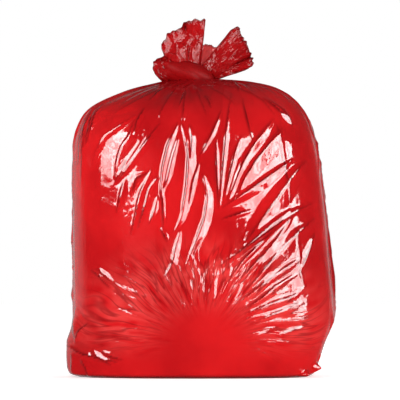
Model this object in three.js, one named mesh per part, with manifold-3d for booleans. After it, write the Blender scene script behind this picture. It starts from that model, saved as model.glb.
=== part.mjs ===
// A filled refuse sack of thin glossy film, tied at the neck and standing on its base.
// Millimetres, +Z up, +X to the right of the front, the front facing -Y.
// The origin is on the floor, under the middle of the sack.
import * as THREE from "three";
import { LoftGeometry } from "three/addons/geometries/LoftGeometry.js";
import { mergeVertices } from "three/addons/utils/BufferGeometryUtils.js";
import Module from "manifold-3d";

// Heights of the filled body's sections above the floor.
const heelHeight = 8;
const cuffHeight = 66;
const bellyHeight = 140;
const waistHeight = 340;
const chestHeight = 430;
const neckHeight = 594;
const shoulderDrop = 66;
const crownDrop = 12;

// How far each section reaches to the left and the right of the middle. The body leans a little.
const footLeft = 234;
const footRight = 214;
const heelLeft = 248;
const heelRight = 228;
const cuffLeft = 252;
const cuffRight = 249;
const bellyLeft = 252;
const bellyRight = 267;
const waistLeft = 254;
const waistRight = 249;
const chestLeft = 253;
const chestRight = 237;
const shoulderLeft = 225;
const shoulderRight = 207;
const crownLeft = 96;
const crownRight = 126;
const neckHalfWidth = 46;
const neckShift = -20;

// Half-depths at the same heights. The section is a soft rectangle that turns round at the neck.
const footHalfDepth = 149;
const heelHalfDepth = 167;
const cuffHalfDepth = 187;
const bellyHalfDepth = 195;
const waistHalfDepth = 190;
const chestHalfDepth = 182;
const shoulderHalfDepth = 152;
const crownHalfDepth = 68;
const neckHalfDepth = 34;
const bodySquareness = 2.5;
const neckSquareness = 2;

// Pleats that run down from the neck over the shoulders.
const pleatCount = 13;
const pleatDepth = 9;
const pleatReach = 150;
const pleatUnevenness = 3;

// The knot: the neck's own film wrapped once round itself.
const knotRadius = 31;
const knotThickness = 19;
const knotTilt = THREE.MathUtils.degToRad(9);
const knotSquash = 1.25;
const knotRise = 6;
const stemRadius = 34;
const stemRise = 9.5;

// Film above the knot, spread out in fans.
const fanThickness = 34;
const fanRootShare = 0.16;
const rimThickness = 5;
const leftFanReach = 128;
const rightFanReach = 146;
const backFanReach = 88;
const leftFoldDepth = 15;
const rightFoldDepth = 13;
const backFoldDepth = 8;

// The fans' rims: an angle from +X in degrees, and a share of the fan's reach from the knot's middle.
const fans = [
  {
    // left fan, the tallest, with a ragged lower edge
    reach: leftFanReach,
    rim: [
      [70, 0.75], [78, 1], [96, 0.97], [112, 0.86], [128, 0.77], [140, 0.59],
      [152, 0.7], [168, 0.66], [178, 0.52],
    ],
    folds: 4,
    foldDepth: leftFoldDepth,
    leanForward: 0.3,
  },
  {
    // right fan, straight-sided
    reach: rightFanReach,
    rim: [
      [12, 0.68], [15, 0.88], [24, 0.92], [34, 0.93], [42, 0.95], [50, 1], [56, 0.81],
    ],
    folds: 2.5,
    foldDepth: rightFoldDepth,
    leanForward: 0.1,
  },
  {
    // low lobe between them, at the back
    reach: backFanReach,
    rim: [
      [38, 0.8], [52, 1], [66, 1], [80, 0.95], [96, 0.8],
    ],
    folds: 1.5,
    foldDepth: backFoldDepth,
    leanForward: -0.62,
  },
];

// Welded bottom corners, which puff out beside the foot towards the front: how far they stand out of the
// body, how high they rise, how far forward their middle lies and how far they spread along the side.
// The shares say where across the half-width a corner starts and is full, and where up its height it fades.
const leftCorner = { reach: 16, height: 120, forward: 50, spread: 75 };
const rightCorner = { reach: 10, height: 44, forward: 45, spread: 34 };
const cornerStart = 0.45;
const cornerFull = 0.9;
const cornerFade = 0.5;

// How finely the surfaces are divided.
const columns = 76;
const bodyRows = 30;
const fanColumns = 22;
const fanRows = 8;
const knotSides = 12;
const knotSteps = 28;

const film = new THREE.MeshStandardMaterial({
  name: "red film",
  color: 0xc4161c,
  roughness: 0.22,
  metalness: 0,
  side: THREE.DoubleSide,
});

const wasm = await Module();
wasm.setup();

// A closed geometry as a solid that can be joined and cut.
function solid(geometry) {
  const bare = new THREE.BufferGeometry();
  bare.setAttribute("position", geometry.getAttribute("position"));
  bare.setIndex(geometry.getIndex());
  const merged = mergeVertices(bare, 1e-3);
  return new wasm.Manifold(
    new wasm.Mesh({
      numProp: 3,
      vertProperties: new Float32Array(merged.attributes.position.array),
      triVerts: new Uint32Array(merged.index.array),
    }),
  );
}

// A solid back as a geometry.
function geometryOf(made) {
  const mesh = made.getMesh();
  const geometry = new THREE.BufferGeometry();
  geometry.setAttribute("position", new THREE.BufferAttribute(mesh.vertProperties, 3));
  geometry.setIndex(new THREE.BufferAttribute(mesh.triVerts, 1));
  geometry.computeVertexNormals();
  return geometry;
}

// How much the film is gathered at a height: 0 on the body, 1 at the neck.
function gatherAt(height) {
  return THREE.MathUtils.smoothstep(height, neckHeight - pleatReach, neckHeight);
}

// A level ring: an ellipse at squareness 2, and closer to a rectangle above that.
function levelRing(centre, halfWidth, halfDepth, squareness, drawnAt = () => 1) {
  return Array.from({ length: columns }, (_, i) => {
    const angle = (i / columns) * 2 * Math.PI;
    const [c, s] = [Math.cos(angle), Math.sin(angle)];
    const drawn = drawnAt(angle);
    return new THREE.Vector3(
      centre.x + Math.sign(c) * Math.abs(c) ** (2 / squareness) * halfWidth * drawn,
      centre.y + Math.sign(s) * Math.abs(s) ** (2 / squareness) * halfDepth * drawn,
      centre.z,
    );
  });
}

// A side of the body as a soft curve up through its sections.
// All sides have their points at the same heights.
function side(reaches) {
  const heights = [
    0, heelHeight, cuffHeight, bellyHeight, waistHeight, chestHeight,
    neckHeight - shoulderDrop, neckHeight - crownDrop, neckHeight,
  ];
  return new THREE.SplineCurve(heights.map((height, i) => new THREE.Vector2(reaches[i], height)));
}

// How far a welded corner pushes a point of the body out to its side.
function puff(point, halfWidth, { reach, height, forward, spread }, side) {
  const outward = THREE.MathUtils.smoothstep(side * point.x, halfWidth * cornerStart, halfWidth * cornerFull);
  const along = Math.exp(-(((point.y + forward) / spread) ** 2));
  const low = 1 - THREE.MathUtils.smoothstep(point.z, height * cornerFade, height);
  return side * reach * outward * along * low;
}

// The filled body, its film pleated where it is gathered into the neck.
function body() {
  const left = side([
    footLeft, heelLeft, cuffLeft, bellyLeft, waistLeft, chestLeft, shoulderLeft, crownLeft,
    neckHalfWidth - neckShift,
  ]);
  const right = side([
    footRight, heelRight, cuffRight, bellyRight, waistRight, chestRight, shoulderRight, crownRight,
    neckHalfWidth + neckShift,
  ]);
  const depth = side([
    footHalfDepth, heelHalfDepth, cuffHalfDepth, bellyHalfDepth, waistHalfDepth, chestHalfDepth,
    shoulderHalfDepth, crownHalfDepth, neckHalfDepth,
  ]);
  const rings = Array.from({ length: bodyRows + 1 }, (_, i) => {
    const at = i / bodyRows;
    const leftReach = left.getPoint(at).x;
    const rightReach = right.getPoint(at).x;
    const halfDepth = depth.getPoint(at).x;
    const halfWidth = (leftReach + rightReach) / 2;
    const height = THREE.MathUtils.clamp(left.getPoint(at).y, 0, neckHeight);
    const gather = gatherAt(height);
    const pleated = (angle) => {
      const pleat = 0.5 - 0.5 * Math.cos(pleatCount * angle + Math.sin(pleatUnevenness * angle));
      return 1 - (gather * pleatDepth * pleat) / halfWidth;
    };
    const centre = new THREE.Vector3((rightReach - leftReach) / 2, 0, height);
    const squareness = THREE.MathUtils.lerp(bodySquareness, neckSquareness, gather);
    const ring = levelRing(centre, halfWidth, halfDepth, squareness, pleated);
    for (const point of ring) {
      point.x += puff(point, halfWidth, leftCorner, -1) + puff(point, halfWidth, rightCorner, 1);
    }
    return ring;
  });
  return new LoftGeometry(rings, { capStart: true, capEnd: true });
}

// The knot, a squashed ring of film round the neck.
function knot() {
  const ring = new THREE.TorusGeometry(knotRadius, knotThickness, knotSides, knotSteps);
  ring.scale(knotSquash, 1, 1);
  ring.rotateY(knotTilt);
  ring.translate(neckShift, 0, neckHeight + knotRise);
  return ring;
}

// The gathered stem that the fans grow out of.
function stem() {
  const core = new THREE.SphereGeometry(stemRadius, knotSteps, knotSides);
  core.translate(neckShift, 0, neckHeight + stemRise);
  return core;
}

// One fan of pleated film: rings from its root in the knot to its rim, where front and back meet.
function fan({ reach, rim, folds, foldDepth, leanForward }) {
  const edge = new THREE.SplineCurve(rim.map(([angle, share]) => new THREE.Vector2(angle, reach * share)));
  const along = edge.getPoints(fanColumns);
  const rings = [];
  for (let row = 0; row <= fanRows; row++) {
    const out = row / fanRows;
    const share = THREE.MathUtils.lerp(fanRootShare, 1, out);
    const half = row === fanRows ? 0 : THREE.MathUtils.lerp(fanThickness, rimThickness, out * out) / 2;
    const place = (p, index, side) => {
      const angle = THREE.MathUtils.degToRad(p.x);
      const fold = Math.sin((index / fanColumns) * folds * 2 * Math.PI) * foldDepth * out;
      return new THREE.Vector3(
        neckShift + Math.cos(angle) * p.y * share,
        side * half + fold - leanForward * p.y * share,
        neckHeight + Math.sin(angle) * p.y * share,
      );
    };
    const front = along.map((p, index) => place(p, index, -1)).reverse();
    const back = along.map((p, index) => place(p, index, 1));
    rings.push([...back, ...front]);
  }
  const root = new THREE.Vector3(neckShift, -leanForward * fanThickness, neckHeight);
  rings.unshift(rings[0].map(() => root));
  return new LoftGeometry(rings);
}

let sack = solid(body());
for (const piece of [knot(), stem(), ...fans.map(fan)]) {
  sack = sack.add(solid(piece));
}

const bag = new THREE.Mesh(geometryOf(sack), film);
bag.name = "filled_bag";
bag.geometry.computeBoundingBox();
const middle = bag.geometry.boundingBox.getCenter(new THREE.Vector3());
bag.position.set(-middle.x, -middle.y, 0);

const group = new THREE.Group();
group.add(bag);
export default group;
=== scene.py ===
# A filled refuse sack of thin glossy red film, knotted at the neck and standing on its base.
# Metres, +Z up, the front faces -Y, and the origin is on the floor under the middle of the sack.
import math

import bmesh
import bpy
import numpy as np
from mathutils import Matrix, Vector, noise


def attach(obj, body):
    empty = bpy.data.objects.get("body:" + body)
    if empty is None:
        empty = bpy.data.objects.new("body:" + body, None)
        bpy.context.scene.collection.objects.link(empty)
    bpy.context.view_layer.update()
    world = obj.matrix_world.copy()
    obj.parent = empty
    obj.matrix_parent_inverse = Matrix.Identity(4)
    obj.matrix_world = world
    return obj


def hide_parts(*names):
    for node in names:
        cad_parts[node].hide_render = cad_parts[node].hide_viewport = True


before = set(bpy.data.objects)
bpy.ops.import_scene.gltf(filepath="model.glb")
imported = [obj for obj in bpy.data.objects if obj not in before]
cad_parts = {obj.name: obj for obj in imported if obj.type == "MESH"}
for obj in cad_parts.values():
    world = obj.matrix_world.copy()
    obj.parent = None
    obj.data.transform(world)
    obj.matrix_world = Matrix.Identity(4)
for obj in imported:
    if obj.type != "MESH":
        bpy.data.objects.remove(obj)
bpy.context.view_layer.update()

# The view: a long lens near the floor, so that the sack's foot is almost a straight line.
# The photograph is 400 pixels square, and a pixel is two millimetres at the sack's middle.
PHOTO_SIDE = 400
PIXEL = 0.002
FOOT_PIXEL = 376.0
MIDDLE_PIXEL = 200.5
CAMERA_DISTANCE = 5.0
CAMERA_HEIGHT = 0.16
SENSOR = 36.0
SIGHT_LIMIT = 80.0

view_height = (FOOT_PIXEL - PHOTO_SIDE / 2) * PIXEL
camera_data = bpy.data.cameras.new("front_view")
camera_data.sensor_width = SENSOR
camera_data.lens = SENSOR * CAMERA_DISTANCE / (PHOTO_SIDE * PIXEL)
camera_data.clip_end = SIGHT_LIMIT
camera = bpy.data.objects.new("front_view", camera_data)
bpy.context.collection.objects.link(camera)
camera.location = (0.0, -CAMERA_DISTANCE, CAMERA_HEIGHT)
look = Vector((0.0, 0.0, view_height)) - camera.location
camera.rotation_euler = look.to_track_quat("-Z", "Y").to_euler()
bpy.context.scene.camera = camera
bpy.context.scene.view_settings.view_transform = "Standard"


def photo_x(px):
    """Across the sack, in metres, of a column of the photograph."""
    return (px - MIDDLE_PIXEL) * PIXEL


def photo_z(py):
    """Above the floor, in metres, of a row of the photograph."""
    return (FOOT_PIXEL - py) * PIXEL


# The floor: a wide round of white paper that lights the sack from below but stays out of its reflections.
# It glows more farther out, so that it runs into the white background without an edge.
FLOOR_RADIUS = 40.0
FLOOR_WHITE = (0.9, 0.9, 0.9, 1.0)
FLOOR_GLOW_NEAR = 0.5
FLOOR_GLOW_FAR = 1.0
FLOOR_GLOW_FROM = 0.6
FLOOR_GLOW_TO = 3.0
FLOOR_SIDES = 96
PAPER_ROUGHNESS = 0.9


def node(tree, kind, inputs=None, **settings):
    """A node of a kind with its settings, each input set to a value or linked to a socket."""
    made = tree.nodes.new(kind)
    for name, setting in settings.items():
        setattr(made, name, setting)
    for name, value in (inputs or {}).items():
        if isinstance(value, bpy.types.NodeSocket):
            tree.links.new(value, made.inputs[name])
        else:
            made.inputs[name].default_value = value
    return made


def math_of(tree, operation, first, second=0.0, third=0.0):
    """The value of a Math node."""
    return node(tree, "ShaderNodeMath", {0: first, 1: second, 2: third}, operation=operation).outputs[0]


def eased(tree, value, low, high, start=0.0, end=1.0):
    """start where the value is low, end where it is high, and a soft step between."""
    limits = {"Value": value, "From Min": low, "From Max": high, "To Min": start, "To Max": end}
    return node(tree, "ShaderNodeMapRange", limits, interpolation_type="SMOOTHSTEP").outputs["Result"]


paper = bpy.data.materials.new("white_paper")
paper.use_nodes = True
paper_shader = paper.node_tree.nodes["Principled BSDF"]
paper_place = node(paper.node_tree, "ShaderNodeTexCoord").outputs["Object"]
paper_length = node(paper.node_tree, "ShaderNodeVectorMath", {0: paper_place}, operation="LENGTH")
paper_far = paper_length.outputs["Value"]
paper_glow = eased(
    paper.node_tree, paper_far, FLOOR_GLOW_FROM, FLOOR_GLOW_TO, FLOOR_GLOW_NEAR, FLOOR_GLOW_FAR
)
paper.node_tree.links.new(paper_glow, paper_shader.inputs["Emission Strength"])
paper_shader.inputs["Emission Color"].default_value = (1.0, 1.0, 1.0, 1.0)
paper_shader.inputs["Base Color"].default_value = FLOOR_WHITE
paper_shader.inputs["Roughness"].default_value = PAPER_ROUGHNESS

floor_bm = bmesh.new()
bmesh.ops.create_circle(floor_bm, cap_ends=True, segments=FLOOR_SIDES, radius=FLOOR_RADIUS)
floor_mesh = bpy.data.meshes.new("paper_floor")
floor_bm.to_mesh(floor_mesh)
floor_bm.free()
floor_mesh.materials.append(paper)
floor = bpy.data.objects.new("paper_floor", floor_mesh)
bpy.context.collection.objects.link(floor)
floor.visible_glossy = False

# The light: tall windows that only show as reflections, soft boxes that only light the film, and a dim
# room. The windows are hazy, so that their reflections are cloudy.
SACK_MIDDLE = (0.0, 0.0, 0.36)
HAZE_SCALE = 3.2
HAZE_DETAIL = 4.0
HAZE_DISTORTION = 0.8
HAZE_FROM = 0.38
HAZE_TO = 0.58
HAZE_DIM = 0.45
HAZE_BRIGHT = 1.15


def reach_from(azimuth, elevation, distance):
    """A point at an azimuth to the right of the front and an elevation, both from the sack's middle."""
    side = math.radians(azimuth)
    up = math.radians(elevation)
    flat = distance * math.cos(up)
    return (flat * math.sin(side), -flat * math.cos(side), SACK_MIDDLE[2] + distance * math.sin(up))


def softbox(name, place, size, power):
    """A rectangular area light that faces the sack's middle."""
    data = bpy.data.lights.new(name, "AREA")
    data.shape = "RECTANGLE"
    data.size = size[0]
    data.size_y = size[1]
    data.energy = power
    lamp = bpy.data.objects.new(name, data)
    bpy.context.collection.objects.link(lamp)
    lamp.location = place
    lamp.rotation_euler = (Vector(SACK_MIDDLE) - Vector(place)).to_track_quat("-Z", "Y").to_euler()
    return lamp


windows = [
    softbox("right_window", reach_from(38, 10, 3.0), (1.95, 2.5), 280),
    softbox("right_window_end", reach_from(68, 10, 3.0), (0.95, 2.5), 137),
    softbox("left_window", reach_from(-54, 22, 3.0), (2.2, 1.5), 200),
]
for window in windows:
    window.visible_diffuse = False
    window.data.use_nodes = True
    pane = window.data.node_tree
    place_on_pane = node(pane, "ShaderNodeNewGeometry").outputs["Parametric"]
    haze = node(pane, "ShaderNodeTexNoise", {
        "Vector": place_on_pane, "Scale": HAZE_SCALE, "Detail": HAZE_DETAIL, "Distortion": HAZE_DISTORTION,
    })
    hazy = eased(pane, haze.outputs["Fac"], HAZE_FROM, HAZE_TO, HAZE_DIM, HAZE_BRIGHT)
    pane.links.new(hazy, pane.nodes["Emission"].inputs["Strength"])

fills = [
    softbox("front_fill", reach_from(-34, 8, 3.5), (1.6, 1.6), 84),
    softbox("right_fill", reach_from(72, 8, 3.5), (1.6, 1.6), 60),
    softbox("top_fill", reach_from(0, 88, 3.0), (3.0, 3.0), 30),
    softbox("back_fill", reach_from(170, 30, 3.5), (3.0, 2.0), 50),
]
for fill in fills:
    fill.visible_glossy = False

# The room is dark but for a pale band behind the sack, level with it. Only the camera sees it white.
ROOM_DIM = 0.06
ROOM_PALE = 0.42
ROOM_PALE_FROM = 0.5
ROOM_PALE_TO = 0.8
ROOM_FLATNESS = -0.8
ROOM_DARKER_RIGHT = -0.25
world = bpy.data.worlds.new("white_room")
world.use_nodes = True
room = world.node_tree
heading = node(room, "ShaderNodeSeparateXYZ", {0: node(room, "ShaderNodeTexCoord").outputs["Generated"]})
steep = math_of(room, "ABSOLUTE", heading.outputs["Z"])
behind = math_of(room, "MULTIPLY_ADD", steep, ROOM_FLATNESS, heading.outputs["Y"])
behind = math_of(room, "MULTIPLY_ADD", heading.outputs["X"], ROOM_DARKER_RIGHT, behind)
reflected = eased(room, behind, ROOM_PALE_FROM, ROOM_PALE_TO, ROOM_DIM, ROOM_PALE)
seen = node(room, "ShaderNodeLightPath").outputs["Is Camera Ray"]
room_strength = math_of(room, "MAXIMUM", reflected, seen)
room.nodes["Background"].inputs["Color"].default_value = (1.0, 1.0, 1.0, 1.0)
room.links.new(room_strength, room.nodes["Background"].inputs["Strength"])
bpy.context.scene.world = world

# The film: glossy polyethylene, cloudy between two reds, with painted shade near the neck, in its folds and
# along its foot. Its finest relief is bump: crinkles, long falls, and wrinkles that spread from the middle of
# the foot. The wrinkles' crests are also painted lighter, as painted highlight, and their lines darker, as
# painted shade.
FOOT_POLE = (205.0, 340.0)
POLE_PLACE = (photo_x(FOOT_POLE[0]), 0.0, photo_z(FOOT_POLE[1]))
NECK_PLACE = (photo_x(190), -0.04, photo_z(84))
# The dark red of painted shade, in the folds, along the foot and in the wrinkle lines.
PAINTED_SHADE_RED = (0.11, 0.002, 0.003, 1.0)
# The lighter red painted on the foot wrinkles' crests as highlight.
PAINTED_CREST_HIGHLIGHT = (0.85, 0.10, 0.09, 1.0)
CLOUD_SCALE = 6.0
CLOUD_FROM = 0.35
CLOUD_TO = 0.65
BODY_CRINKLES = 34.0
FAN_CRINKLES = 95.0
FALL_STRETCH = (46.0, 46.0, 7.0)
FALL_HEIGHT = 0.0009
# Painted shade near the neck: the distances where it starts and where it is full, and how strong it is.
NECK_SHADE_FROM = 0.20
NECK_SHADE_AND_DULL_TO = 0.04
NECK_SHADE_SHARE = 0.75
DULL_FROM = 0.09
# Painted shade along the foot's bottom edge: the heights where it starts and where it is full, and how
# strong.
FOOT_SHADE_FROM = 0.009
FOOT_SHADE_TO = 0.002
FOOT_SHADE_SHARE = 0.75
# How far the crests are painted towards the highlight red, and the lines towards the shade red.
CREST_HIGHLIGHT_SHARE = 0.35
LINE_SHARE = 0.6


def blend(tree, share, first, second):
    """The colour that is a share of the way from first to second."""
    mixed = node(tree, "ShaderNodeMix", {"Factor": share, "A": first, "B": second}, data_type="RGBA")
    return mixed.outputs["Result"]


def streaks(tree, angle, far, turns, steps, sharpness, detail):
    """Thin streaks along rays, one on each and zero between: a ridged noise in polar coordinates."""
    polar = node(tree, "ShaderNodeCombineXYZ", {
        "X": math_of(tree, "MULTIPLY", angle, turns),
        "Y": math_of(tree, "MULTIPLY", far, steps),
    }).outputs[0]
    waves = node(tree, "ShaderNodeTexNoise", {"Vector": polar, "Scale": 1.0, "Detail": detail}).outputs["Fac"]
    swing = math_of(tree, "ABSOLUTE", math_of(tree, "MULTIPLY_ADD", waves, 2.0, -1.0))
    return math_of(tree, "MAXIMUM", math_of(tree, "MULTIPLY_ADD", swing, -sharpness, 1.0), 0.0)


# Wrinkles that spread from a pole: crests and finer lines, above the pole and away from it. The film raises
# them as bump, and paints the crests lighter as highlight and the lines darker as shade.
# Their reach fades in between two distances from the pole, out between two more, and below the pole.
WANDER_SCALE = 7.0
WANDER = 0.4
POLE_FLATTENING = (1.0, 0.0, 1.35)
FADE_IN = (0.05, 0.16)
FADE_OUT = (0.31, 0.18)
FADE_BELOW = (-0.045, 0.03)
spread = bpy.data.node_groups.new("spread_wrinkles", "ShaderNodeTree")
spread.interface.new_socket("Position", in_out="INPUT", socket_type="NodeSocketVector")
spread.interface.new_socket("Pole", in_out="INPUT", socket_type="NodeSocketVector")
spread.interface.new_socket("Crest", in_out="OUTPUT", socket_type="NodeSocketFloat")
spread.interface.new_socket("Line", in_out="OUTPUT", socket_type="NodeSocketFloat")
given = spread.nodes.new("NodeGroupInput")
away = node(spread, "ShaderNodeVectorMath", {0: given.outputs["Position"], 1: given.outputs["Pole"]},
            operation="SUBTRACT").outputs[0]
wander_waves = node(spread, "ShaderNodeTexNoise", {"Vector": away, "Scale": WANDER_SCALE, "Detail": 1.0})
wander = wander_waves.outputs["Fac"]
offset = node(spread, "ShaderNodeSeparateXYZ", {0: away})
angle = math_of(spread, "ARCTAN2", offset.outputs["Z"], offset.outputs["X"])
angle = math_of(spread, "MULTIPLY_ADD", wander, WANDER, angle)
flattened = node(spread, "ShaderNodeVectorMath", {0: away, 1: POLE_FLATTENING}, operation="MULTIPLY")
far = node(spread, "ShaderNodeVectorMath", {0: flattened.outputs[0]}, operation="LENGTH").outputs["Value"]
reach = math_of(spread, "MULTIPLY", eased(spread, far, *FADE_IN), eased(spread, far, *FADE_OUT))
reach = math_of(spread, "MULTIPLY", reach, eased(spread, offset.outputs["Z"], *FADE_BELOW))
crests = streaks(spread, angle, far, turns=6.0, steps=11.0, sharpness=3.0, detail=2.0)
lines = streaks(spread, angle, far, turns=15.0, steps=10.0, sharpness=9.0, detail=1.0)
taken = spread.nodes.new("NodeGroupOutput")
spread.links.new(math_of(spread, "MULTIPLY", crests, reach), taken.inputs["Crest"])
spread.links.new(math_of(spread, "MULTIPLY", lines, reach), taken.inputs["Line"])


def film_material(name, reds, crinkle, density, wrinkle, roughness, shine, neck_shine, glow=0.0):
    """Film clouded between two reds, with a third painted near the neck as shade, all three in reds.

    crinkle and wrinkle are the heights of the crinkles and of the foot wrinkles, density how close the
    crinkles lie, and glow the strength of an emission in the film's own reds: painted light for daylight
    coming through the film from behind.
    """
    # The third red is painted shade, darker film near the neck.
    deep, bright, gathered = reds
    made = bpy.data.materials.new(name)
    made.use_nodes = True
    tree = made.node_tree
    shader = tree.nodes["Principled BSDF"]
    spot = node(tree, "ShaderNodeTexCoord").outputs["Object"]
    height = node(tree, "ShaderNodeSeparateXYZ", {0: spot}).outputs["Z"]
    clouds = node(tree, "ShaderNodeTexNoise", {"Vector": spot, "Scale": CLOUD_SCALE, "Detail": 4.0})
    cloud = clouds.outputs["Fac"]
    wrinkles = node(tree, "ShaderNodeGroup", node_tree=spread)
    wrinkles.inputs["Pole"].default_value = POLE_PLACE
    tree.links.new(spot, wrinkles.inputs["Position"])
    shown = 1.0 if wrinkle else 0.0
    crest = math_of(tree, "MULTIPLY", wrinkles.outputs["Crest"], shown)
    line = math_of(tree, "MULTIPLY", wrinkles.outputs["Line"], LINE_SHARE * shown)
    neck_distance = node(tree, "ShaderNodeVectorMath", {0: spot, 1: NECK_PLACE}, operation="DISTANCE")
    from_neck = neck_distance.outputs["Value"]

    colour = blend(tree, eased(tree, cloud, CLOUD_FROM, CLOUD_TO), deep, bright)
    # Painted shade: the film turns towards the third, darker red near the neck.
    painted_neck_shade = eased(tree, from_neck, NECK_SHADE_FROM, NECK_SHADE_AND_DULL_TO, 0.0, NECK_SHADE_SHARE)
    colour = blend(tree, painted_neck_shade, colour, gathered)
    # Painted highlight: the foot wrinkles' crests blend towards a lighter red.
    colour = blend(tree, math_of(tree, "MULTIPLY", crest, CREST_HIGHLIGHT_SHARE), colour, PAINTED_CREST_HIGHLIGHT)
    # Painted shade: the fold lines, a band along the foot's bottom edge and the wrinkle lines blend towards
    # the dark red.
    fold = node(tree, "ShaderNodeAttribute", attribute_name="fold_shade").outputs["Fac"]
    painted_foot_shade = eased(tree, height, FOOT_SHADE_FROM, FOOT_SHADE_TO, 0.0, FOOT_SHADE_SHARE)
    dark = math_of(tree, "MAXIMUM", fold, painted_foot_shade)
    colour = blend(tree, math_of(tree, "MAXIMUM", dark, line), colour, PAINTED_SHADE_RED)
    tree.links.new(colour, shader.inputs["Base Color"])
    # Emission of the film's own colour at glow strength: painted light, the film glows though it is no lamp.
    tree.links.new(colour, shader.inputs["Emission Color"])
    shader.inputs["Emission Strength"].default_value = glow
    shader.inputs["Roughness"].default_value = roughness
    shining = eased(tree, from_neck, DULL_FROM, NECK_SHADE_AND_DULL_TO, shine, neck_shine)
    tree.links.new(shining, shader.inputs["Specular IOR Level"])

    crinkle_waves = node(tree, "ShaderNodeTexNoise", {
        "Vector": spot, "Scale": density, "Detail": 2.0, "Distortion": 0.6,
    })
    crinkles = crinkle_waves.outputs["Fac"]
    stretched = node(tree, "ShaderNodeVectorMath", {0: spot, 1: FALL_STRETCH}, operation="MULTIPLY")
    fall_waves = node(tree, "ShaderNodeTexNoise", {
        "Vector": stretched.outputs[0], "Scale": 1.0, "Detail": 2.0,
    })
    falls = fall_waves.outputs["Fac"]
    relief = math_of(tree, "MULTIPLY", crinkles, crinkle)
    relief = math_of(tree, "MULTIPLY_ADD", falls, FALL_HEIGHT, relief)
    relief = math_of(tree, "MULTIPLY_ADD", crest, wrinkle, relief)
    relief = math_of(tree, "MULTIPLY_ADD", line, -wrinkle, relief)
    bump = node(tree, "ShaderNodeBump", {"Height": relief, "Distance": 1.0, "Strength": 1.0})
    tree.links.new(bump.outputs["Normal"], shader.inputs["Normal"])
    return made


def film_piece(name, bm, material):
    """A piece of the sack from a bmesh, smooth, with its faces outwards."""
    bmesh.ops.recalc_face_normals(bm, faces=bm.faces)
    for face in bm.faces:
        face.smooth = True
    mesh = bpy.data.meshes.new(name)
    bm.to_mesh(mesh)
    bm.free()
    mesh.materials.append(material)
    made = bpy.data.objects.new(name, mesh)
    bpy.context.collection.objects.link(made)
    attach(made, "root")
    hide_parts("filled_bag")
    return made


# The filled body: blown film stretched over loose refuse, one closed skin from the bottom weld to the neck.
# A grid is wrapped round level sections, then raised along creases placed on the photograph, each a ridge
# with two flat flanks, so that its flanks catch the windows or miss them with a sharp edge between.
# Stations of the section: height, then how far it reaches to the left, the right, the front and the back.
STATIONS = [
    (0.000, 0.234, 0.214, 0.150, 0.148),
    (0.008, 0.248, 0.228, 0.168, 0.165),
    (0.030, 0.251, 0.237, 0.180, 0.177),
    (0.066, 0.252, 0.249, 0.188, 0.185),
    (0.100, 0.252, 0.261, 0.193, 0.191),
    (0.140, 0.252, 0.267, 0.196, 0.194),
    (0.240, 0.253, 0.258, 0.195, 0.194),
    (0.340, 0.254, 0.249, 0.190, 0.189),
    (0.430, 0.253, 0.237, 0.182, 0.181),
    (0.484, 0.248, 0.225, 0.172, 0.171),
    (0.528, 0.225, 0.207, 0.152, 0.151),
    (0.562, 0.160, 0.175, 0.110, 0.110),
    (0.582, 0.096, 0.126, 0.068, 0.068),
    (0.594, 0.056, 0.036, 0.034, 0.034),
]
SQUARENESS = 2.5
NECK_SQUARENESS = 2.0
ROUNDS_FROM = 0.46
ROUNDS_OVER = 0.13
GIRTH = 1.46
SLOPE_LENGTH = 0.94
GRID_STEP = 0.0038
COLUMNS = int(GIRTH / GRID_STEP)
ROWS_UP = int(SLOPE_LENGTH / GRID_STEP)
UNDER_ROWS = 8
WELD_SHARE = 0.85
FRONT_DENSITY = 0.5
FINE_STEPS = 40
RING_POINTS = 721
FACING_FROM = 0.05
FACING_OVER = 0.25


def even_rows(stations, count):
    """count rows evenly spaced up a Catmull-Rom curve through the stations."""
    padded = np.vstack([2 * stations[0] - stations[1], stations, 2 * stations[-1] - stations[-2]])
    fine = []
    for a, b, c, d in zip(padded, padded[1:], padded[2:], padded[3:]):
        for t in np.linspace(0, 1, FINE_STEPS, endpoint=False):
            bend = (2 * a - 5 * b + 4 * c - d) * t**2 + (3 * b - a - 3 * c + d) * t**3
            fine.append(0.5 * (2 * b + (c - a) * t + bend))
    fine = np.array([*fine, stations[-1]])
    gaps = np.linalg.norm(np.diff(fine[:, [0, 3]], axis=0), axis=1)
    along = np.concatenate([[0], np.cumsum(gaps)])
    even = np.linspace(0, along[-1], count)
    return np.stack([np.interp(even, along, column) for column in fine.T], axis=1)


def level_ring(height, left, right, front, back):
    """The points of one level section, from the middle of the back round by the left, closer in front."""
    angles = np.linspace(0, 2 * np.pi, RING_POINTS) + np.pi / 2
    c = np.cos(angles)
    s = np.sin(angles)
    rounded = np.clip((height - ROUNDS_FROM) / ROUNDS_OVER, 0, 1)
    power = 2 / (SQUARENESS + (NECK_SQUARENESS - SQUARENESS) * rounded)
    x = (right - left) / 2 + np.sign(c) * np.abs(c) ** power * (right + left) / 2
    y = np.where(s > 0, back, front) * np.sign(s) * np.abs(s) ** power
    along = np.concatenate([[0], np.cumsum(np.hypot(np.diff(x), np.diff(y)))])
    even = along[-1] * round_share
    return np.stack([np.interp(even, along, x), np.interp(even, along, y), np.full(COLUMNS, height)], axis=1)


stations = np.array(STATIONS)
rows = even_rows(stations, ROWS_UP)
inward = np.linspace(0, 1, UNDER_ROWS, endpoint=False)[:, None]
weld = np.array([0.0, *(WELD_SHARE * stations[0, 1:3]), 0.0, 0.0])
rows = np.vstack([weld + (stations[0] - weld) * inward, rows])
turn = np.arange(COLUMNS) / COLUMNS
round_share = turn + FRONT_DENSITY * np.sin(2 * np.pi * turn) / (2 * np.pi)
skin = np.array([level_ring(*row) for row in rows])
points = skin.reshape(-1, 3)

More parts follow.
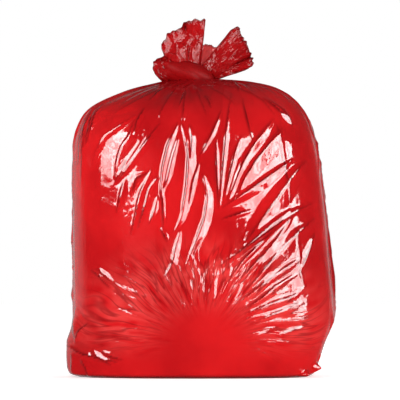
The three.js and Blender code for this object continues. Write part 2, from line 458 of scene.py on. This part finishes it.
# The puffed corner at the left of the foot: how far it stands out at rows of the photograph.
EAR_ROWS = [300, 316, 328, 340, 354, 366, 373, 376]
EAR_REACH = [0.0, 0.0, 0.006, 0.015, 0.016, 0.016, 0.013, 0.008]
EAR_MIDDLE = -0.05
EAR_SPREAD = 0.075
EAR_FROM = -0.12
EAR_OVER = 0.1
ear_out = np.interp(FOOT_PIXEL - points[:, 2] / PIXEL, EAR_ROWS, EAR_REACH)
ear_along = np.exp(-(((points[:, 1] - EAR_MIDDLE) / EAR_SPREAD) ** 2))
points[:, 0] -= ear_out * ear_along * np.clip((EAR_FROM - points[:, 0]) / EAR_OVER, 0, 1) ** 2

# Points of the bottom weld that stick out of the right corner: where, how far they are pulled, how wide.
WELD_POINTS = [
    ((0.224, -0.064, 0.018), (0.016, -0.008, 0.000), 0.013),
    ((0.205, -0.096, 0.004), (0.016, -0.026, -0.004), 0.013),
    ((0.229, -0.050, 0.040), (0.007, -0.004, 0.003), 0.011),
]
for place, pull, wide in WELD_POINTS:
    near = np.clip(1 - np.linalg.norm(points - place, axis=1) / wide, 0, 1)
    points += near[:, None] * np.array(pull)

across = np.roll(skin, -1, axis=1) - np.roll(skin, 1, axis=1)
normals = np.cross(across, np.gradient(skin, axis=0))
normals /= np.maximum(np.linalg.norm(normals, axis=2, keepdims=True), 1e-12)
normals = normals.reshape(-1, 3)
front = np.clip((-normals[:, 1] - FACING_FROM) / FACING_OVER, 0, 1)
back = np.clip((normals[:, 1] - FACING_FROM) / FACING_OVER, 0, 1)
elsewhere = 1 - front
lift = np.zeros(len(points))
fold_shade = np.zeros(len(points))

SOFT_STEPS = 12
SOFT_ROUNDS = 6
TAPER_POWER = 0.6
FOLD_LINE = 1.8
WIDE_FOLD_LINE = 5.0
WIDE_DARKNESS = 0.6
STEEP = 0.35


def soft_line(line, count):
    """count points evenly spaced along a soft curve through the points of a line."""
    line = np.array(line, float)
    steps = np.linspace(0, len(line) - 1, SOFT_STEPS * len(line))
    fine = np.stack([np.interp(steps, range(len(line)), column) for column in line.T], axis=1)
    for _ in range(SOFT_ROUNDS):
        fine[1:-1] = (fine[:-2] + 2 * fine[1:-1] + fine[2:]) / 4
    along = np.concatenate([[0], np.cumsum(np.hypot(*np.diff(fine, axis=0).T))])
    even = np.linspace(0, along[-1], count)
    return np.stack([np.interp(even, along, column) for column in fine.T], axis=1)


def nearest_on(line, x, y):
    """For each point x, y: how far it is from the line, on which side of it, and how far along, 0 to 1."""
    best = np.full(x.shape, np.inf)
    side = np.zeros(x.shape)
    at = np.zeros(x.shape)
    for k, (a, b) in enumerate(zip(line, line[1:])):
        step = b - a
        share = np.clip(((x - a[0]) * step[0] + (y - a[1]) * step[1]) / (step @ step), 0, 1)
        dx = x - a[0] - share * step[0]
        dy = y - a[1] - share * step[1]
        gap = np.hypot(dx, dy)
        nearer = gap < best
        best = np.where(nearer, gap, best)
        side = np.where(nearer, np.sign(step[0] * dy - step[1] * dx), side)
        at = np.where(nearer, (k + share) / (len(line) - 1), at)
    return best, side, at


def crease(x, y, left, right, height, line, weight, dark_line=FOLD_LINE, darkness=1.0):
    """Raises a ridge along a line from its top to its foot, and paints shade along its steep left flank.

    x, y, the line, the dark line's width and the flanks' widths are in pixels, the height in millimetres.
    Both flanks are flat and taper to the line's ends.
    """
    line = soft_line(line, 6 * len(line))
    low = line.min(axis=0) - max(left, right)
    high = line.max(axis=0) + max(left, right)
    inside = np.flatnonzero((x > low[0]) & (x < high[0]) & (y > low[1]) & (y < high[1]))
    gap, side, at = nearest_on(line, x[inside], y[inside])
    taper = np.sin(np.pi * np.clip(at, 0, 1)) ** TAPER_POWER
    width = np.where(side > 0, left, right) * np.maximum(taper, 1e-6)
    lift[inside] += weight[inside] * height * taper * np.clip(1 - gap / width, 0, 1)
    steepness = min(height / (left * PIXEL * 1000) / STEEP, 1)
    dark = darkness * steepness * np.exp(-((gap / dark_line) ** 2)) * (side > 0) * taper * weight[inside]
    fold_shade[inside] = np.maximum(fold_shade[inside], dark)


# Creases of the front: the width of the left flank and of the right one, the height, and the line.
FRONT_CREASES = [
    # left patch: its upper left edge, its right edge, and a leg below it
    (16, 3, 5.0, [(140, 120), (124, 131), (108, 142), (99, 158), (95, 172)]),
    (2.5, 10, 3.0, [(137, 124), (132, 141), (124, 152), (120, 166), (118, 184)]),
    (2.5, 4, 2.6, [(147, 113), (140, 126), (137, 142)]),
    (3, 4, 3.4, [(163, 128), (143, 155), (120, 187)]),
    (2.5, 3, 2.4, [(143, 146), (131, 164), (117, 188)]),
    (3, 5, 3.8, [(128, 182), (125, 196), (120, 217)]),
    # hooked crease left of the centre
    (2.5, 4, 3.0, [(134, 198), (138, 182), (151, 176)]),
    (3, 6, 4.6, [(154, 174), (143, 198), (139, 218), (134, 238)]),
    (2.5, 3, 2.8, [(163, 179), (152, 192), (147, 212), (141, 232)]),
    (2.5, 4, 3.4, [(160, 199), (157, 213), (152, 228)]),
    (2.5, 3, 2.6, [(162, 184), (165, 206), (166, 232)]),
    (2.5, 4, 3.0, [(163, 229), (166, 236), (170, 244)]),
    # centre spindles
    (3, 5, 4.6, [(180, 127), (170, 150), (165, 172), (162, 204)]),
    (2.5, 4, 3.4, [(180, 142), (174, 162), (169, 184), (163, 200)]),
    (3, 8, 5.4, [(182, 127), (190, 158), (188, 190), (183, 220), (175, 236)]),
    (3, 5, 4.2, [(182, 232), (177, 250), (174, 266), (165, 281)]),
    (2.5, 4, 3.0, [(191, 129), (193, 146), (192, 165)]),
    (3, 7, 5.2, [(203, 178), (208, 200), (205, 222), (196, 245), (186, 270)]),
    (2.5, 3, 2.6, [(200, 166), (194, 188), (190, 210)]),
    (2.5, 3, 2.6, [(222, 115), (213, 138), (200, 162)]),
    # thin lines right of the centre
    (2.2, 2.6, 2.2, [(232, 96), (227, 128), (223, 168), (219, 214)]),
    (2.2, 2.4, 1.8, [(216, 142), (217, 178), (219, 212)]),
    (2.2, 2.6, 2.2, [(242, 103), (247, 126), (253, 148)]),
    (2.5, 3, 2.6, [(241, 141), (235, 156), (230, 176), (224, 202)]),
    # right, long diagonals: a steep dark flank on the upper left, a broad bright one on the lower right
    (4, 8, 4.4, [(273, 123), (255, 146), (244, 164), (236, 182), (227, 206)]),
    (5, 12, 5.2, [(283, 131), (268, 148), (254, 166), (244, 182), (234, 204)]),
    (5, 9, 5.6, [(292, 162), (264, 183), (244, 197), (222, 212)]),
    (11, 14, 9.0, [(305, 163), (290, 179), (275, 201), (260, 222), (242, 248)]),
    (8, 4, 6.5, [(311, 206), (288, 217), (262, 237), (228, 262)]),
    (2.5, 4, 3.2, [(253, 213), (238, 217), (221, 223)]),
    (10, 5, 6.5, [(288, 212), (262, 234), (244, 249), (217, 270)]),
    (3, 4, 3.4, [(278, 227), (258, 246), (242, 262), (227, 284)]),
    (3.5, 6, 4.4, [(291, 217), (276, 240), (262, 256), (250, 268), (237, 284)]),
    (9, 12, 7.0, [(313, 220), (296, 234), (280, 250), (264, 268), (242, 295)]),
    (4, 5, 4.2, [(313, 234), (307, 250), (298, 272)]),
    (4, 8, 4.6, [(301, 257), (276, 274), (258, 287), (236, 304)]),
    (3.5, 6, 4.0, [(297, 273), (274, 286), (260, 298), (240, 311)]),
    (3.5, 6, 3.8, [(305, 285), (290, 297), (268, 304), (242, 314)]),
    (3, 5, 3.0, [(301, 302), (276, 312), (256, 320)]),
    (2.5, 2.5, 1.8, [(275, 126), (280, 148), (284, 176), (289, 210)]),
    (2.5, 2.5, 2.0, [(293, 226), (296, 250), (297, 268), (302, 290)]),
    # left foot corner: a fold across it and crinkles beside it
    (5, 4, 4.6, [(122, 361), (104, 357), (86, 353), (66, 344)]),
    (3, 4, 3.2, [(94, 348), (104, 355), (116, 363)]),
    (3, 4, 3.0, [(104, 349), (114, 354), (126, 357)]),
    (4, 5, 3.4, [(84, 357), (90, 365), (93, 376)]),
    (3, 4, 3.0, [(74, 350), (76, 360), (74, 372)]),
    (4, 9, 4.6, [(79, 306), (77, 322), (79, 342)]),
    (3, 5, 3.0, [(93, 322), (84, 330), (78, 342)]),
    # left shoulder streaks
    (2.5, 3, 2.6, [(106, 104), (98, 118), (91, 146)]),
    (2.5, 3, 2.4, [(101, 106), (93, 124), (89, 150)]),
    (2.5, 3, 2.4, [(96, 108), (87, 130), (84, 158)]),
    (2.5, 3, 2.0, [(90, 116), (83, 138), (81, 170)]),
    # single glints
    (2.5, 4, 3.2, [(94, 270), (103, 276), (114, 288)]),
    (2.5, 3, 2.6, [(100, 268), (109, 276), (118, 284)]),
    (2.5, 4, 3.0, [(303, 326), (290, 329), (276, 334)]),
    (2.5, 3, 2.6, [(260, 101), (272, 110), (290, 126)]),
    (2.5, 3, 2.6, [(277, 110), (284, 118), (292, 130)]),
    (2.5, 3, 2.6, [(233, 84), (236, 90), (240, 97)]),
    # glints near the knot
    (2.5, 4, 3.4, [(212, 82), (224, 84), (236, 87)]),
    (2.5, 3, 3.0, [(226, 87), (232, 84), (238, 82)]),
    (2.5, 3, 3.0, [(186, 96), (184, 104), (181, 112)]),
    (2.5, 3, 3.0, [(205, 100), (209, 106), (212, 114)]),
    (2.5, 3, 3.0, [(168, 92), (160, 98), (152, 106)]),
    # pleats that run down from the knot over the shoulder
    (9, 8, 3.5, [(178, 86), (160, 96), (136, 108), (118, 118)]),
    (7, 6, 3.5, [(182, 87), (172, 102), (160, 124)]),
    (6, 6, 3.5, [(188, 88), (186, 104), (184, 128)]),
    (6, 6, 3.0, [(195, 88), (201, 104), (208, 122)]),
    (8, 8, 3.5, [(202, 88), (220, 98), (238, 112)]),
    (7, 8, 3.0, [(210, 86), (238, 92), (262, 104), (276, 122)]),
    (5, 5, 2.5, [(262, 102), (280, 112), (292, 128)]),
    (4, 4, 2.0, [(92, 126), (86, 150), (84, 190)]),
]
px = points[:, 0] / PIXEL + MIDDLE_PIXEL
py = FOOT_PIXEL - points[:, 2] / PIXEL
for placed in FRONT_CREASES:
    crease(px, py, *placed, front)

# Low wrinkles that spread from the middle of the foot, in front and behind.
FOOT_WRINKLES = 60
chance = np.random.default_rng(11)
for weight in (front, back):
    for k in range(FOOT_WRINKLES):
        angle = math.radians(-8 + 196 * (k + chance.uniform(0.1, 0.9)) / FOOT_WRINKLES)
        start = chance.uniform(16, 60)
        far = np.linspace(start, start + chance.uniform(30, 85), 4)
        bent = angle + chance.uniform(-0.12, 0.12) * np.arange(4)
        across = FOOT_POLE[0] + far * np.cos(bent)
        down = FOOT_POLE[1] - 0.8 * far * np.sin(bent)
        width = chance.uniform(1.6, 3.4)
        line = np.stack([across, down], axis=1)
        crease(px, py, width, width, chance.uniform(0.6, 1.5), line, weight, darkness=0.0)

# Falls down the sides and the back, and pleats all round the neck, in pixels round the film and down it.
FILM_ROUND = 730
SIDE_FALLS = 130
NECK_PLEATS = 34
FRONT_PLEATS = 0.35
round_film = np.tile(round_share * FILM_ROUND, len(rows))
down_steps = np.linalg.norm(np.diff(rows[::-1, [0, 3]], axis=0), axis=1)
down_film = np.repeat(np.concatenate([np.cumsum(down_steps)[::-1], [0]]) / PIXEL, COLUMNS)
for _ in range(SIDE_FALLS):
    start = chance.uniform(0, FILM_ROUND)
    top = chance.uniform(40, 260)
    long = chance.uniform(30, 120)
    lean = chance.normal(0, 0.35)
    share = np.linspace(0, 1, 4)
    sideways = start + lean * long * share + 6 * np.sin(3 * share + start)
    line = np.stack([sideways, top + long * share], axis=1)
    left = chance.uniform(4, 13)
    right = chance.uniform(3, 9)
    height = chance.uniform(2.0, 5.0)
    crease(round_film, down_film, left, right, height, line, elsewhere, WIDE_FOLD_LINE, WIDE_DARKNESS)
neck_weight = FRONT_PLEATS + (1 - FRONT_PLEATS) * elsewhere
for k in range(NECK_PLEATS):
    start = FILM_ROUND * (k + chance.uniform(0.2, 0.8)) / NECK_PLEATS
    long = chance.uniform(45, 120)
    line = [(start + chance.normal(0, 5) * s, 2 + long * s) for s in np.linspace(0, 1, 4)]
    width = chance.uniform(7, 14)
    height = chance.uniform(2.5, 6.0)
    crease(round_film, down_film, width, width, height, line, neck_weight, WIDE_FOLD_LINE, WIDE_DARKNESS)

points += normals * lift[:, None] / 1000
points[:, 2] = np.maximum(points[:, 2], 0.0)

body_bm = bmesh.new()
bmesh.ops.create_grid(body_bm, x_segments=COLUMNS, y_segments=len(rows) - 1, size=1.0)
shade_layer = body_bm.verts.layers.float.new("fold_shade")
for vert in body_bm.verts:
    column = round((vert.co.x + 1) / 2 * COLUMNS) % COLUMNS
    row = round((vert.co.y + 1) / 2 * (len(rows) - 1))
    vert.co = skin[row, column]
    vert[shade_layer] = fold_shade[row * COLUMNS + column]
bmesh.ops.remove_doubles(body_bm, verts=body_bm.verts, dist=1e-5)
body_reds = [(0.42, 0.004, 0.006, 1.0), (0.58, 0.008, 0.010, 1.0), (0.20, 0.002, 0.004, 1.0)]
body_film = film_material(
    "glossy_red_film", body_reds, crinkle=0.0009, density=BODY_CRINKLES, wrinkle=0.00030,
    roughness=0.07, shine=0.5, neck_shine=0.15,
)
body = film_piece("film_body", body_bm, body_film)

# The knot: the neck's own film, turned once round itself and pulled tight, higher on the left.
# It is a squashed sphere with swirled folds, and duller than the body because its layers scatter the light.
KNOT_MIDDLE = (photo_x(188), -0.004, photo_z(74))
KNOT_SIZE = (0.055, 0.043, 0.029)
KNOT_DROP = 0.014
KNOT_FOLDS = 5
KNOT_SWIRL = 5.0
KNOT_FOLD_DEPTH = 0.06
KNOT_FOLD_ROUNDNESS = 0.6
KNOT_SIDES = 96
KNOT_ROWS = 48

knot_bm = bmesh.new()
bmesh.ops.create_uvsphere(knot_bm, u_segments=KNOT_SIDES, v_segments=KNOT_ROWS, radius=1.0)
for vert in knot_bm.verts:
    swirl = math.atan2(vert.co.y, vert.co.x) * KNOT_FOLDS + KNOT_SWIRL * vert.co.z
    ridge = abs(math.sin(swirl / 2)) ** KNOT_FOLD_ROUNDNESS
    scale = 1.0 + KNOT_FOLD_DEPTH * (ridge - 0.5)
    vert.co = Vector((
        KNOT_MIDDLE[0] + KNOT_SIZE[0] * vert.co.x * scale,
        KNOT_MIDDLE[1] + KNOT_SIZE[1] * vert.co.y * scale,
        KNOT_MIDDLE[2] + KNOT_SIZE[2] * vert.co.z - KNOT_DROP * vert.co.x,
    ))
# Reds darker than the body's: painted shade on the knot.
shaded_knot_reds = [(0.25, 0.002, 0.003, 1.0), (0.31, 0.003, 0.004, 1.0), (0.27, 0.002, 0.003, 1.0)]
knot_film = film_material(
    "knotted_red_film", shaded_knot_reds, crinkle=0.0004, density=BODY_CRINKLES, wrinkle=0.0,
    roughness=0.5, shine=0.04, neck_shine=0.04,
)
knot = film_piece("knot", knot_bm, knot_film)

# The loose film above the knot: the sack's own end, gathered into three fans. Each is a flattened tube of
# film from a root line in the knot to a ragged rim, pleated along its length and crumpled into facets.
FAN_COLUMNS = 150
FAN_ROWS = 46
FILM_WALL = 0.0006
BACK_SHORTER = 0.93
RIM_SHADE = 0.85
RIM_FROM = 0.93
RIPPLE = 0.0016
RIPPLES = (20.0, 1.8)
FLUTTERS = 0.16
WANDERS = (3.1, 2.4)
WANDERING = 0.9
FACETS = (5.0, 3.2)
FACET_SHARE = 0.7
FOLD_ROUNDNESS = 0.75
FOLD_MIDDLE = 0.6
FOLD_GROWTH = 0.8
CLOSED_SHARE = 0.35


def crumpled(across, along, seed):
    """A crumple of flat facets with sharp edges between them, from about -0.5 to 0.5."""
    near, middles = noise.voronoi(Vector((across, along, seed)))
    tilt = noise.cell(middles[0] * 7.3) * (across - middles[0].x)
    tilt += noise.cell(middles[0] * 3.1 + Vector((5, 5, 5))) * (along - middles[0].y)
    return max(-0.5, min(0.5, 0.6 * tilt + 0.5 * (near[0] - 0.4)))


def fan(name, root, rim, pleats, phase, depth, bulge, lean, ragged, seed, material):
    """A fan of film between two lines in pixels, left to right, with a number of pleats of a given depth.

    bulge is how far its two layers stand apart, and lean how far its rim comes forward.
    """
    rim_line = soft_line(rim, FAN_COLUMNS)
    root_line = soft_line(root, FAN_COLUMNS)
    around = 2 * FAN_COLUMNS
    fan_bm = bmesh.new()
    bmesh.ops.create_grid(fan_bm, x_segments=around, y_segments=FAN_ROWS, size=1.0)
    rim_layer = fan_bm.verts.layers.float.new("fold_shade")
    for vert in fan_bm.verts:
        column = round((vert.co.x + 1) / 2 * around) % around
        out = (vert.co.y + 1) / 2
        layer = 0 if column < FAN_COLUMNS else 1
        place = around - 1 - column if layer else column
        share = place / (FAN_COLUMNS - 1)
        flutter = ragged * noise.noise(Vector((place * FLUTTERS, seed, 3.0 + 6.0 * layer))) * out**3
        far = out * ((BACK_SHORTER if layer else 1.0) + flutter)
        spot = root_line[place] * (1 - far) + rim_line[place] * far
        wander = WANDERING * noise.noise(Vector((WANDERS[0] * share, WANDERS[1] * out, seed)))
        fold = abs(math.sin(math.pi * (pleats * share + phase + 1.7 * layer + wander)))
        crumple = crumpled(FACETS[0] * share, FACETS[1] * out, seed + 20.0 * layer)
        ripple = RIPPLE * noise.noise(Vector((RIPPLES[0] * share, RIPPLES[1] * out, seed)))
        pleat = depth * (fold**FOLD_ROUNDNESS - FOLD_MIDDLE) * out**FOLD_GROWTH
        folded = pleat + FACET_SHARE * depth * crumple * out + ripple * out
        opened = CLOSED_SHARE + (1 - CLOSED_SHARE) * math.sin(math.pi * min(out, 0.75))
        apart = bulge * math.sin(math.pi * share) ** 0.5 * opened
        y = (apart if layer else -apart) - folded - lean * out
        vert.co = Vector((photo_x(spot[0]), y, photo_z(spot[1])))
        vert[rim_layer] = RIM_SHADE * max(0.0, (out - RIM_FROM) / (1 - RIM_FROM))
    bmesh.ops.remove_doubles(fan_bm, verts=fan_bm.verts, dist=1e-5)
    made = film_piece(name, fan_bm, material)
    wall = made.modifiers.new("film_wall", "SOLIDIFY")
    wall.thickness = FILM_WALL
    wall.offset = 0.0
    return made


fan_reds = [(0.26, 0.003, 0.004, 1.0), (0.56, 0.010, 0.012, 1.0), (0.24, 0.003, 0.004, 1.0)]
fan_film = film_material(
    "gathered_red_film", fan_reds, crinkle=0.0024, density=FAN_CRINKLES, wrinkle=0.0,
    roughness=0.10, shine=0.15, neck_shine=0.15,
)
# Lighter reds that also glow: painted light standing for daylight through the film from behind.
painted_lit_reds = [(0.66, 0.05, 0.05, 1.0), (0.78, 0.09, 0.09, 1.0), (0.70, 0.07, 0.07, 1.0)]
painted_lit_film = film_material(
    "painted_lit_red_film", painted_lit_reds, crinkle=0.0007, density=BODY_CRINKLES, wrinkle=0.0,
    roughness=0.07, shine=0.3, neck_shine=0.3, glow=0.30,
)

# The left fan: the tallest, of the sack's own film, with a ragged edge that hangs down on the left.
# It is gathered into two pleats and opens towards the front.
left_fan = fan(
    "left_fan",
    root=[(176, 84), (184, 82), (194, 80), (200, 78)],
    rim=[
        (163, 82), (157, 77), (153, 70), (154, 62), (160, 59), (165, 57), (162, 50), (162, 45), (166, 40),
        (169, 33), (176, 32), (182, 28), (186, 22), (196, 20), (206, 21),
    ],
    pleats=2.3, phase=0.15, depth=0.014, bulge=0.026, lean=0.012, ragged=0.05, seed=2.0, material=fan_film,
)

# The right fan: straight-sided film that stands out to the right of the knot.
# It has one broad pleat and a scalloped rim.
right_fan = fan(
    "right_fan",
    root=[(190, 80), (196, 80), (200, 82), (204, 84)],
    rim=[(231, 30), (239, 26), (242, 36), (247, 42), (249, 49), (253, 58), (254, 66), (246, 70)],
    pleats=1.1, phase=0.06, depth=0.016, bulge=0.016, lean=0.004, ragged=0.03, seed=5.0, material=fan_film,
)

# The low lobe between the two fans, of the same film in lighter reds that glow: painted light for daylight
# coming through it from behind. It leans back.
# It is made like the fans, closer and lower.
back_fan = fan(
    "back_fan",
    root=[(186, 80), (192, 80), (198, 80)],
    rim=[(186, 50), (198, 43), (210, 42), (221, 48)],
    pleats=1.6, phase=0.1, depth=0.010, bulge=0.018, lean=-0.045, ragged=0.04, seed=8.0, material=painted_lit_film,
)
